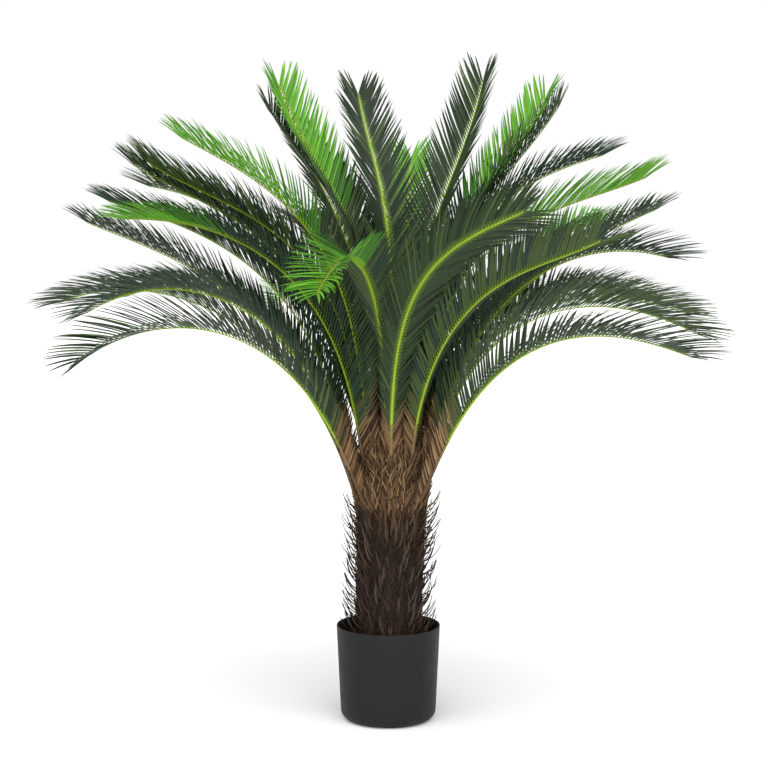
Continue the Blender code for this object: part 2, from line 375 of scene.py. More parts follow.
# Extruded polyethylene strip for the trunk: dull, with a dry, fibrous look.
TRUNK_BROWNS = (
    Finish("trunk_strip_umber_polyethylene", "#392c22", 0.80),
    Finish("trunk_strip_dark_polyethylene", "#241b15", 0.80),
    Finish("trunk_strip_grey_polyethylene", "#463a2f", 0.78),
    Finish("trunk_strip_brown_polyethylene", "#4d3a28", 0.78),
    Finish("trunk_strip_tan_polyethylene", "#6c5437", 0.75),
)
# Strips under the spikes: brown polyethylene, darkened as painted shade of the hollows between the
# spikes.
UNDER_BROWNS_AND_SHADE = (
    Finish("trunk_under_strip_dark_polyethylene_painted_shade", "#221811", 0.85),
    Finish("trunk_under_strip_umber_polyethylene_painted_shade", "#32241a", 0.85),
    Finish("trunk_under_strip_brown_polyethylene_painted_shade", "#46331f", 0.80),
)
# The core's dark brown is partly painted shade of the hollows between the spikes.
TRUNK_CORE = FibreMat("trunk_core_pressed_fibre", "#2a2019", 0.90)
POT_BLACK = MouldedPotPlastic("pot_moulded_polypropylene", "#131314", 0.55)
CEMENT = CastCement("pot_weight_cast_cement", "#77736c", 0.95)
FLOOR = PaintedFloor("floor_white_emulsion", "#fafaf9", 0.75)


# Meshes


@dataclass
class Sheaf:
    """Many small bodies that become one mesh, with one finish for each face.

    Attributes:
        points: Blocks of points.
        faces: Blocks of faces, each with one number of corners.
        finishes: A finish for each face, as its place in the palette.
        palette: Finishes in use.
        smooth: Whether each block of faces is shaded smooth.
        count: Points so far.
    """

    points: list[Array] = field(default_factory=list)
    faces: list[Array] = field(default_factory=list)
    finishes: list[Array] = field(default_factory=list)
    palette: list[Finish] = field(default_factory=list)
    smooth: list[bool] = field(default_factory=list)
    count: int = 0

    def index(self, finish: Finish) -> int:
        """Return a finish's place in the palette, and add it if it is new."""
        if finish not in self.palette:
            self.palette.append(finish)
        return self.palette.index(finish)

    def add(
        self, points: Array, blocks: list[tuple[Array, Array]], smooth: bool = False
    ) -> None:
        """Add points and the faces on them.

        Args:
            points: Points as rows.
            blocks: Pairs of faces, as rows of point numbers, and their finishes.
            smooth: Whether the faces are shaded smooth.
        """
        for faces, finishes in blocks:
            self.faces.append(faces.reshape(-1, faces.shape[-1]) + self.count)
            self.finishes.append(finishes.reshape(-1))
            self.smooth.append(smooth)
        self.points.append(points.reshape(-1, 3))
        self.count += len(self.points[-1])

    def add_plain(self, points: Array, blocks: list[Array], finish: Finish) -> None:
        """Add a body of one finish that is shaded smooth."""
        index = self.index(finish)
        dealt = [(block, np.full(block.size // block.shape[-1], index)) for block in blocks]
        self.add(points, dealt, smooth=True)

    def to_object(self, name: str) -> bpy.types.Object:
        """Make the mesh object.

        Args:
            name: Name of the piece.

        Returns:
            The object, linked to the scene.
        """
        mesh = bpy.data.meshes.new(name)
        points = np.concatenate(self.points)
        corners = np.concatenate([block.reshape(-1) for block in self.faces])
        sizes = np.concatenate([np.full(len(b), b.shape[1]) for b in self.faces])
        starts = np.concatenate([[0], np.cumsum(sizes)[:-1]])
        shaded = np.concatenate(
            [np.full(len(b), s) for b, s in zip(self.faces, self.smooth)]
        )
        mesh.vertices.add(len(points))
        mesh.vertices.foreach_set("co", points.astype(np.float32).ravel())
        mesh.loops.add(len(corners))
        mesh.loops.foreach_set("vertex_index", corners.astype(np.int32))
        mesh.polygons.add(len(sizes))
        mesh.polygons.foreach_set("loop_start", starts.astype(np.int32))
        mesh.polygons.foreach_set(
            "material_index", np.concatenate(self.finishes).astype(np.int32)
        )
        mesh.polygons.foreach_set("use_smooth", shaded)
        mesh.update(calc_edges=True)
        for finish in self.palette:
            mesh.materials.append(finish.material())
        item = bpy.data.objects.new(name, mesh)
        bpy.context.scene.collection.objects.link(item)
        return item


def level_vectors(azimuth: Array) -> tuple[Array, Array]:
    """Return the level unit vectors outwards and sideways at some azimuths."""
    cosine, sine, nought = np.cos(azimuth), np.sin(azimuth), np.zeros_like(azimuth)
    return np.stack([cosine, sine, nought], -1), np.stack([-sine, cosine, nought], -1)


def splayed(out: Array, side: Array, tilt: Array, spread: Array) -> Array:
    """Lean upright directions over.

    Args:
        out: Outward unit vector of each.
        side: Sideways unit vector of each.
        tilt: Angle outwards, in radians.
        spread: Angle sideways.

    Returns:
        Unit directions.
    """
    ways = UP * (np.cos(spread) * np.cos(tilt))[:, None]
    ways = ways + side * (np.sin(spread) * np.cos(tilt))[:, None]
    return unit(ways + out * np.sin(tilt)[:, None])


def band_faces(rings: int, facets: int) -> Array:
    """Return the faces between rings of points, each with as many points as facets."""
    k = np.arange(rings - 1)[:, None] * facets
    i = np.arange(facets)[None, :]
    j = (i + 1) % facets
    return np.stack([k + i, k + j, k + facets + j, k + facets + i], axis=-1)


def capped_faces(rings: int, facets: int) -> list[Array]:
    """Return the faces of rings that are closed by a fan at each end.

    Args:
        rings: Number of rings.
        facets: Points in each ring.

    Returns:
        The bands, the fan round the point that follows the rings' points, which
        closes the first ring, and the fan round the next, which closes the last.
    """
    i = np.arange(facets)
    j = (i + 1) % facets
    count, last = rings * facets, (rings - 1) * facets
    first_fan = np.stack([np.full(facets, count), j, i], axis=-1)
    last_fan = np.stack([np.full(facets, count + 1), last + i, last + j], axis=-1)
    return [band_faces(rings, facets), first_fan, last_fan]


@dataclass(frozen=True)
class BladeShape:
    """Shape of one leaflet or spike: a thin keeled sword.

    Attributes:
        stations: Shares of the length where the sword has a cross-section.
        widths: Share of the full width at each of them.
        keel: Depth of the keel as a share of the half width.
        thickness: Thickness at the keel, in metres.
    """

    stations: tuple[float, ...]
    widths: tuple[float, ...]
    keel: float
    thickness: float


@dataclass
class Blades:
    """A number of swords, each a row of every array.

    Attributes:
        roots: Where each starts.
        ways: Unit direction of each at its root.
        normals: Direction that its upper face looks in.
        lengths: Length of each.
        widths: Full width of each.
        bends: How far its tip lies off the straight line.
        finishes: Finish of each, or of each of its lengths from root to tip.
    """

    roots: Array
    ways: Array
    normals: Array
    lengths: Array
    widths: Array
    bends: Array
    finishes: Array

    def add_to(self, sheaf: Sheaf, shape: BladeShape) -> None:
        """Build every sword as a closed body.

        Args:
            sheaf: The mesh that takes them.
            shape: Their shape.
        """
        number, rings = len(self.roots), len(shape.stations)
        share = np.array(shape.stations)[None, :, None]
        reach = self.lengths[:, None, None]
        centre = self.roots[:, None] + self.ways[:, None] * reach * share
        centre = centre + self.bends[:, None] * share**2
        across = unit(np.cross(self.normals, self.ways))[:, None]
        normal = unit(np.cross(self.ways, across[:, 0]))[:, None]
        half = self.widths[:, None, None] / 2.0 * np.array(shape.widths)[None, :, None]
        sunk = normal * half * shape.keel
        thick = normal * shape.thickness / 2.0
        ring = np.stack(
            [
                centre + across * half,
                centre - sunk + thick,
                centre - across * half,
                centre - sunk - thick,
            ],
            axis=2,
        )
        tip = self.roots + self.ways * self.lengths[:, None] + self.bends
        points = np.concatenate([ring.reshape(number, -1, 3), tip[:, None]], axis=1)
        size = rings * 4 + 1
        first = (np.arange(number) * size)[:, None, None]
        dealt = self.finishes.reshape(number, -1)
        dealt = np.broadcast_to(dealt, (number, rings)) if dealt.shape[1] == 1 else dealt
        quads = band_faces(rings, 4).reshape(1, -1, 4) + first
        corner = np.arange(4)
        last = (rings - 1) * 4
        ends = np.stack([last + corner, last + (corner + 1) % 4, np.full(4, size - 1)], axis=-1)
        caps = np.array([[3, 2, 1, 0]])
        blocks = [
            (quads, np.repeat(dealt[:, : rings - 1], 4, axis=1)),
            (ends[None] + first, np.repeat(dealt[:, rings - 1 :], 4, axis=1)),
            (caps[None] + first, dealt[:, :1]),
        ]
        sheaf.add(points, blocks)


def add_tube(
    sheaf: Sheaf,
    centre: Array,
    sides: Array,
    uppers: Array,
    half_widths: Array,
    finishes: Array,
    facets: int = 6,
    flatness: float = 0.8,
) -> None:
    """Add a closed tapering bar along a line.

    Args:
        sheaf: The mesh that takes it.
        centre: Points of the line.
        sides: Sideways unit vector at each point.
        uppers: Upward unit vector at each point.
        half_widths: Half width at each point.
        finishes: Finish of each length between two points.
        facets: Faces round the bar.
        flatness: Height of the bar as a share of its width.
    """
    turn = np.arange(facets) * math.tau / facets
    wide = (np.cos(turn)[None, :] * half_widths[:, None])[..., None]
    high = (np.sin(turn)[None, :] * half_widths[:, None] * flatness)[..., None]
    ring = centre[:, None] + sides[:, None] * wide + uppers[:, None] * high
    quads = band_faces(len(centre), facets)
    last = (len(centre) - 1) * facets
    caps = np.stack([np.arange(facets)[::-1], last + np.arange(facets)])
    sheaf.add(
        ring,
        [
            (quads, np.repeat(finishes, facets)),
            (caps, np.array([finishes[0], finishes[-1]])),
        ],
        smooth=True,
    )


def turned_mesh(
    sheaf: Sheaf, profile: list[tuple[float, float]], finish: Finish, facets: int
) -> None:
    """Turn a closed profile round the Z axis.

    Args:
        sheaf: The mesh that takes the body.
        profile: Radius and height of each point, from the axis back to the axis.
        finish: Finish of the whole body.
        facets: Faces round the body.
    """
    inner = profile[1:-1]
    turn = np.arange(facets) * math.tau / facets
    radius = np.array([p[0] for p in inner])[:, None]
    height = np.array([p[1] for p in inner])[:, None]
    ring = np.stack(
        [
            radius * np.cos(turn)[None],
            radius * np.sin(turn)[None],
            np.broadcast_to(height, (len(inner), facets)),
        ],
        axis=-1,
    ).reshape(-1, 3)
    ends = np.array([[0.0, 0.0, profile[0][1]], [0.0, 0.0, profile[-1][1]]])
    sheaf.add_plain(np.concatenate([ring, ends]), capped_faces(len(inner), facets), finish)


def leaf_base_browns(sheaf: Sheaf, number: int, rng: np.random.Generator) -> Array:
    """Deal out the browns of a number of leaf bases."""
    browns = np.array([sheaf.index(f) for f in (BASE_TAN, BASE_BROWN, BASE_DARK)])
    return browns[rng.integers(0, len(browns), number)]


def settle(
    item: bpy.types.Object, nodes: list[str], sharp_deg: float | None = None
) -> None:
    """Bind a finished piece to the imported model.

    Args:
        item: The piece.
        nodes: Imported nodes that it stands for.
        sharp_deg: Angle above which its edges stay sharp.
    """
    if sharp_deg is not None:
        item.data.set_sharp_from_angle(angle=math.radians(sharp_deg))
    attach(item, BODY)
    if nodes:
        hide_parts(*nodes)
    faces = sum(len(polygon.vertices) - 2 for polygon in item.data.polygons)
    LOG.info("%s: %d triangles, replaces %s", item.name, faces, nodes or "nothing")


# Crown

# Turns a frond's lag at a quarter of its length into the third-power term of its bend.
LAG_FACTOR = 32.0 / 3.0


class Ring(Enum):
    """Ring of the trunk's head that a frond stands on."""

    LOW = "low"
    MID = "mid"
    TOP = "top"
    CORE = "core"


class Tone(Enum):
    """Batch of leaf plastic that a frond is moulded from."""

    DARK = "leaf_dark"
    BRIGHT = "leaf_bright"


# Height of each ring, the radius that its stalks stand at, and the height up to
# which its stalks and leaflets are brown.
RINGS = {
    Ring.LOW: (0.430, 0.069, 0.540),
    Ring.MID: (0.465, 0.055, 0.560),
    Ring.TOP: (0.505, 0.040, 0.580),
    Ring.CORE: (0.545, 0.023, 0.600),
}

# Finishes of a rib from the stalk out, and how far above its ring's brown height
# each of them ends.
RIB_STEPS = (
    (RIB_BROWN, -0.040),
    (RIB_TAN, -0.005),
    (RIB_OLIVE, 0.020),
    (RIB_LIME, math.inf),
)


@dataclass(frozen=True)
class FrondStyle:
    """Sizes that every frond of the plant shares, in metres and degrees.

    The tables give a value at each distance along the rib.

    Attributes:
        rib_length: Length of the rib.
        seat_gap: Gap between the stalk and its step of the head.
        lean: How far the trunk leans to +X per metre of height.
        lean_from: Height that it leans from.
        first: Distance from the stalk's foot to the first leaflet.
        spacing: Distance between leaflets on one side.
        close_spacing: The same near the stalk, where they are crowded.
        close_to: Distance from the stalk's foot where that ends.
        rib_points: Points along the rib.
        path_step: Step in which the rib's path is summed up.
        twist: How far each leaflet is turned about its own length.
        rib_half_widths: Half width of the rib.
        angles: Angle between leaflet and rib.
        lengths: Length of a leaflet.
        widths: Width of a leaflet.
        folds: How far a row of leaflets is folded up from flat.
        root_side: Where a leaflet joins the rib, as a share of the rib's half width.
        root_rise: How far above the rib's middle, as such a share too.
        scatter: Spread of the angle, the fold and the twist, in degrees.
        unevenness: Spread of the length and of the width, as shares.
        looseness: Spread of a leaflet's random bend, as a share of its length.
        forward_bend: How far it bends towards the frond's tip, as such a share.
        sag: Least and greatest droop of a frond's leaflets, as such a share.
        sag_scatter: How much more than that a single leaflet droops at most.
        change_from: Where a bright-tipped frond starts to turn bright.
        change_to: Where it is bright all over.
        change_later: How much further out that is on the wide arching ring.
        change_scatter: Spread of where it changes.
        dark_limits: Chance of the first green of a frond, and of the first or the second.
        bright_limits: The same for the bright greens.
        head_reach: Distance from the stalk's foot beyond which nothing is brown.
        brown_scatter: Mean and spread of how far above the ring's height brown ends.
        olive_band: Height over which brown turns to green.
        shape: Outline and section of a leaflet.
    """

    rib_length: float = 0.76
    seat_gap: float = 0.0003
    lean: float = 0.02
    lean_from: float = 0.125
    first: float = 0.012
    spacing: float = 0.0075
    close_spacing: float = 0.0045
    close_to: float = 0.20
    rib_points: int = 64
    path_step: float = 0.002
    rib_half_widths: tuple[tuple[float, float], ...] = (
        (0.00, 0.0042), (0.12, 0.0026), (0.30, 0.0017), (0.60, 0.0013), (0.76, 0.0009),
    )
    angles: tuple[tuple[float, float], ...] = (
        (0.00, 30.0), (0.05, 36.0), (0.12, 40.0), (0.30, 42.0),
        (0.48, 41.0), (0.62, 39.0), (0.70, 37.0), (0.74, 36.0), (0.76, 24.0),
    )
    lengths: tuple[tuple[float, float], ...] = (
        (0.00, 0.032), (0.03, 0.038), (0.10, 0.050), (0.16, 0.070), (0.25, 0.102),
        (0.35, 0.121), (0.48, 0.126), (0.62, 0.119), (0.70, 0.108), (0.74, 0.088),
        (0.76, 0.058),
    )
    widths: tuple[tuple[float, float], ...] = (
        (0.00, 0.0028), (0.10, 0.0036), (0.20, 0.0048), (0.50, 0.0053), (0.76, 0.0052),
    )
    folds: tuple[tuple[float, float], ...] = ((0.00, 52.0), (0.12, 46.0), (0.30, 38.0))
    twist: float = 22.0
    change_from: float = 0.44
    change_to: float = 0.52
    change_later: float = 0.12
    change_scatter: float = 0.018
    dark_limits: tuple[float, float] = (0.66, 0.90)
    bright_limits: tuple[float, float] = (0.60, 0.88)
    head_reach: float = 0.3
    brown_scatter: tuple[float, float] = (0.014, 0.014)
    olive_band: float = 0.022
    root_side: float = 0.7
    root_rise: float = 0.25
    scatter: tuple[float, float, float] = (1.3, 2.0, 5.0)
    unevenness: tuple[float, float] = (0.025, 0.05)
    looseness: float = 0.02
    forward_bend: float = 0.05
    sag: tuple[float, float] = (0.04, 0.11)
    sag_scatter: float = 0.03
    shape: BladeShape = BladeShape(
        stations=(0.0, 0.040, 0.12, 0.32, 0.60, 0.84),
        widths=(0.48, 0.64, 0.90, 1.00, 0.82, 0.50),
        keel=0.50,
        thickness=0.0006,
    )


def read(table: tuple[tuple[float, float], ...], along: Array) -> Array:
    """Read a table of distance and value at some distances."""
    return np.interp(along, [row[0] for row in table], [row[1] for row in table])


@dataclass
class Frond:
    """One frond: an arching rib with two rows of leaflets.

    Attributes:
        name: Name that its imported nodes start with.
        ring: Ring of the head that it stands on.
        azimuth: Azimuth of its stalk, 0 being +X and 90 being +Y, in degrees.
        turn: How far its rib turns sideways.
        launch: Elevation of the rib at the stalk.
        middle: Elevation half-way.
        tip: Elevation at the tip.
        tone: Its batch of plastic.
        split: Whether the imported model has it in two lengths.
        roll: How far it is rolled to its left about the rib at the tip.
        lag: How much steeper it still is at a quarter of its length, and how much
            less steep at three quarters, than an even bend would have it.
        number: Its place in the crown, which seeds its variation.
        style: Sizes of every frond.
    """

    name: str
    ring: Ring
    azimuth: float
    turn: float
    launch: float
    middle: float
    tip: float
    tone: Tone
    split: bool
    roll: float
    lag: float
    number: int
    style: FrondStyle

    def nodes(self) -> list[str]:
        """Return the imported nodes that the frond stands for."""
        if self.split:
            return [self.name + "_inner", self.name + "_outer"]
        return [self.name]

    def directions(self, share: Array) -> tuple[Array, Array]:
        """Return the rib's unit direction and its heading at shares of its length."""
        held = np.minimum(share, 1.0)
        elevation = self.launch * (1.0 - held) * (1.0 - 2.0 * held)
        elevation = elevation + self.middle * 4.0 * held * (1.0 - held)
        elevation = elevation + self.tip * held * (2.0 * held - 1.0)
        third_power = held * (1.0 - held) * (1.0 - 2.0 * held)
        elevation = elevation + self.lag * LAG_FACTOR * third_power
        rise = np.radians(elevation)
        heading = np.radians(self.azimuth + self.turn * held)
        level = np.cos(rise)
        way = np.stack(
            [level * np.cos(heading), level * np.sin(heading), np.sin(rise)], axis=-1
        )
        return way, heading

    def line(self, along: Array) -> tuple[Array, Array, Array, Array]:
        """Follow the rib.

        Args:
            along: Distances from the stalk's foot.

        Returns:
            Points, tangents, sideways vectors and upper-face vectors there.
        """
        style = self.style
        height, radius, _ = RINGS[self.ring]
        height += style.seat_gap
        azimuth = math.radians(self.azimuth)
        shift = style.lean * (height - style.lean_from)
        foot = np.array(
            [radius * math.cos(azimuth) + shift, radius * math.sin(azimuth), height]
        )
        step = style.path_step
        marks = np.arange(0.0, style.rib_length + 2.0 * step, step)
        ways, _ = self.directions((marks[:-1] + step / 2.0) / style.rib_length)
        path = foot + np.concatenate([np.zeros((1, 3)), np.cumsum(ways * step, axis=0)])
        points = np.stack([np.interp(along, marks, path[:, a]) for a in range(3)], axis=-1)
        tangents, heading = self.directions(along / style.rib_length)
        level = np.stack([-np.sin(heading), np.cos(heading), np.zeros(len(along))], -1)
        upper = np.cross(tangents, level)
        roll = np.radians(self.roll * along / style.rib_length)[:, None]
        sides = level * np.cos(roll) - upper * np.sin(roll)
        return points, tangents, sides, np.cross(tangents, sides)

    def rib(self) -> bpy.types.Object:
        """Build the rib and stalk.

        Returns:
            The rib's piece.
        """
        style = self.style
        along = np.linspace(0.0, style.rib_length, style.rib_points)
        points, _, sides, uppers = self.line(along)
        sheaf = Sheaf()
        brown_to = RINGS[self.ring][2]
        limits = brown_to + np.array([reach for _, reach in RIB_STEPS])
        indexes = np.array([sheaf.index(finish) for finish, _ in RIB_STEPS])
        heights = (points[:-1, 2] + points[1:, 2]) / 2.0
        outer = along[1:] > style.head_reach
        place = np.searchsorted(limits, heights)
        finishes = indexes[np.where(outer, len(RIB_STEPS) - 1, place)]
        half_widths = read(style.rib_half_widths, along)
        add_tube(sheaf, points, sides, uppers, half_widths, finishes)
        return sheaf.to_object(self.name + "_rib")

    def leaflets(self) -> bpy.types.Object:
        """Build both rows of leaflets.

        Returns:
            The leaflets' piece.
        """
        style = self.style
        rng = np.random.default_rng(SEEDS["fronds"] + self.number)
        inner = np.arange(style.first, style.close_to, style.close_spacing)
        outer = np.arange(style.close_to, style.rib_length, style.spacing)
        base = np.concatenate([inner, outer])
        along = np.concatenate([base, base + np.gradient(base) / 2.0])
        sign = np.repeat([1.0, -1.0], len(base))
        keep = along <= style.rib_length
        along, sign = along[keep], sign[keep]
        number = len(along)
        points, tangents, sides, uppers = self.line(along)
        angle_scatter, fold_scatter, twist_scatter = style.scatter
        angle = np.radians(read(style.angles, along) + rng.normal(0.0, angle_scatter, number))
        fold = np.radians(read(style.folds, along) + rng.normal(0.0, fold_scatter, number))
        twist = np.radians(style.twist + rng.normal(0.0, twist_scatter, number))
        uneven_length, uneven_width = style.unevenness
        lengths = read(style.lengths, along) * (1.0 + rng.normal(0.0, uneven_length, number))
        widths = read(style.widths, along) * (1.0 + rng.normal(0.0, uneven_width, number))
        outward = sides * (sign * np.cos(fold))[:, None]
        outward = outward + uppers * np.sin(fold)[:, None]
        normal = uppers * np.cos(fold)[:, None] - sides * (sign * np.sin(fold))[:, None]
        cosine, sine = np.cos(angle)[:, None], np.sin(angle)[:, None]
        ways = tangents * cosine + outward * sine
        forward = tangents * sine - outward * cosine
        normal = normal * np.cos(twist)[:, None] - forward * np.sin(twist)[:, None]
        half_rib = read(style.rib_half_widths, along)
        roots = points + sides * (sign * half_rib * style.root_side)[:, None]
        roots = roots + uppers * (half_rib * style.root_rise)[:, None]
        loose = rng.normal(0.0, style.looseness, (number, 3))
        sag = rng.uniform(*style.sag) + style.sag_scatter * rng.random(number)
        bends = forward * style.forward_bend - UP * sag[:, None] + loose
        bends = bends * lengths[:, None]
        sheaf = Sheaf()
        finishes = self.leaflet_finishes(sheaf, points[:, 2], along, rng)
        blades = Blades(roots, ways, normal, lengths, widths, bends, finishes)
        blades.add_to(sheaf, style.shape)
        return sheaf.to_object(self.name + "_leaflets")

    def leaflet_finishes(
        self, sheaf: Sheaf, heights: Array, along: Array, rng: np.random.Generator
    ) -> Array:
        """Deal out colours: brown at the head, lime at the rib and green beyond.

        Args:
            sheaf: The mesh whose palette takes the finishes.
            heights: Height of each leaflet's root.
            along: Its distance along the rib.
            rng: Source of the variation.

        Returns:
            A finish for each length of each leaflet.
        """
        style, number = self.style, len(heights)
        chance = rng.random(number)
        start = -self.number % len(DARK_GREENS)
        greens = [sheaf.index(f) for f in DARK_GREENS[start:] + DARK_GREENS[:start]]
        blade = np.choose(np.searchsorted(style.dark_limits, chance), greens[:3])
        fade = np.full(number, sheaf.index(FADE_DARK))
        if self.tone is Tone.BRIGHT:
            later = style.change_later if self.ring is Ring.MID else 0.0
            shifted = along - later + rng.normal(0.0, style.change_scatter, number)
            middle = sheaf.index(MIDDLE_GREEN)
            brights = [sheaf.index(f) for f in BRIGHT_GREENS]
            bright = np.choose(np.searchsorted(style.bright_limits, chance), brights)
            blade = np.where(shifted > style.change_from, middle, blade)
            blade = np.where(shifted > style.change_to, bright, blade)
            fade = np.where(shifted > style.change_from, sheaf.index(FADE_BRIGHT), fade)
        finishes = np.repeat(blade[:, None], len(style.shape.stations), axis=1)
        finishes[:, 0] = sheaf.index(ROOT_LIME)
        finishes[:, 1] = fade
        brown_to = RINGS[self.ring][2] + rng.normal(*style.brown_scatter, number)
        inner = along < style.head_reach
        browns = leaf_base_browns(sheaf, number, rng)
        brown = inner & (heights < brown_to)
        finishes[brown] = browns[brown][:, None]
        olive = inner & (heights >= brown_to) & (heights < brown_to + style.olive_band)
        finishes[olive, 2:] = sheaf.index(BASE_OLIVE)
        return finishes


# Ring, azimuth, turn, launch, middle, tip, tone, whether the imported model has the
# frond in two lengths, roll and lag.
FROND_ROWS = (
    (Ring.MID, 268, 47, 81, 46, 19, Tone.DARK, True, 60, 6),
    (Ring.MID, 212, -26, 77, 52, -1, Tone.BRIGHT, True, 0, 6),
    (Ring.MID, 307, 0, 83, 38, 21, Tone.DARK, True, 25, 8),
    (Ring.LOW, 218, -4, 66, 31, -30, Tone.DARK, True, 20, 3),
    (Ring.LOW, 320, -5, 61, 29, -14, Tone.DARK, True, 0, 7),
    (Ring.LOW, 197, 13, 72, 41, -29, Tone.DARK, True, 0, 4),
    (Ring.LOW, 342, -13, 78, 34, -23, Tone.DARK, True, 0, 8),
    (Ring.MID, 169, 4, 59, 43, 22, Tone.DARK, True, 0, 7),
    (Ring.MID, 16, 6, 83, 43, 21, Tone.DARK, False, 0, 1),
    (Ring.MID, 340, -22, 67, 46, -12, Tone.DARK, True, 0, 6),
    (Ring.TOP, 255, 2, 84, 37, -22, Tone.BRIGHT, True, 0, 12),
    (Ring.TOP, 349, 3, 75, 52, 23, Tone.BRIGHT, False, 0, 14),
    (Ring.TOP, 158, 0, 62, 53, 8, Tone.DARK, False, 0, 6),
    (Ring.MID, 190, -2, 64, 52, 18, Tone.DARK, True, 0, 10),
    (Ring.TOP, 202, -18, 67, 54, 36, Tone.DARK, False, 0, 17),
    (Ring.TOP, 180, 15, 73, 51, 32, Tone.DARK, False, 0, 11),
    (Ring.TOP, 222, -31, 67, 63, 28, Tone.BRIGHT, False, 0, 11),
    (Ring.CORE, 23, 16, 89, 57, 60, Tone.BRIGHT, False, 0, 6),
    (Ring.CORE, 158, -32, 87, 64, 62, Tone.BRIGHT, False, 0, 10),
    (Ring.CORE, 104, 1, 89, 68, 58, Tone.DARK, False, 0, 17),
    (Ring.CORE, 58, -10, 89, 62, 73, Tone.DARK, False, 0, 5),
    (Ring.TOP, 14, 0, 72, 63, 16, Tone.DARK, False, 0, 11),
    (Ring.TOP, 38, -33, 70, 66, 58, Tone.DARK, False, 0, 11),
    (Ring.TOP, 125, 27, 84, 66, 60, Tone.DARK, False, 0, 14),
    (Ring.TOP, 106, 16, 82, 52, 38, Tone.DARK, False, 0, 0),
    (Ring.TOP, 84, 2, 80, 48, 40, Tone.BRIGHT, False, 0, 0),
    (Ring.LOW, 13, -3, 82, 34, -18, Tone.DARK, True, 0, 8),
    (Ring.LOW, 36, 2, 74, 36, -24, Tone.DARK, True, 0, 0),
    (Ring.LOW, 62, -3, 76, 34, -28, Tone.DARK, True, 0, 0),
    (Ring.LOW, 88, 3, 74, 37, -22, Tone.DARK, True, 0, 0),
    (Ring.LOW, 114, -2, 72, 33, -26, Tone.BRIGHT, True, 0, 0),
    (Ring.LOW, 148, 4, 76, 36, -20, Tone.DARK, True, 0, 0),
    (Ring.LOW, 183, 0, 74, 38, -22, Tone.DARK, True, 0, 0),
    (Ring.MID, 38, 3, 78, 44, 6, Tone.BRIGHT, False, 0, 0),
    (Ring.MID, 63, -4, 78, 48, -2, Tone.DARK, False, 0, 0),
    (Ring.MID, 88, 4, 76, 42, 10, Tone.DARK, False, 0, 0),
    (Ring.MID, 114, -3, 78, 46, 0, Tone.DARK, False, 0, 0),
    (Ring.MID, 139, 3, 76, 44, 8, Tone.DARK, False, 0, 0),
)


@dataclass
class Crown:
    """Every frond of the plant.

    Attributes:
        style: Sizes that the fronds share.
    """

    style: FrondStyle = field(default_factory=FrondStyle)

    def fronds(self) -> list[Frond]:
        """Return the fronds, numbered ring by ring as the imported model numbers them."""
        counts: dict[Ring, int] = {}
        made = []
        for number, row in enumerate(FROND_ROWS):
            ring = row[0]
            counts[ring] = counts.get(ring, 0) + 1
            name = f"frond_{ring.value}_{counts[ring]:02d}"
            made.append(Frond(name, *row, number, self.style))
        return made

    def build(self) -> None:
        """Build the leaflets and the rib of every frond."""
        for frond in self.fronds():
            settle(frond.leaflets(), frond.nodes())
            settle(frond.rib(), [], sharp_deg=60.0)


# Trunk


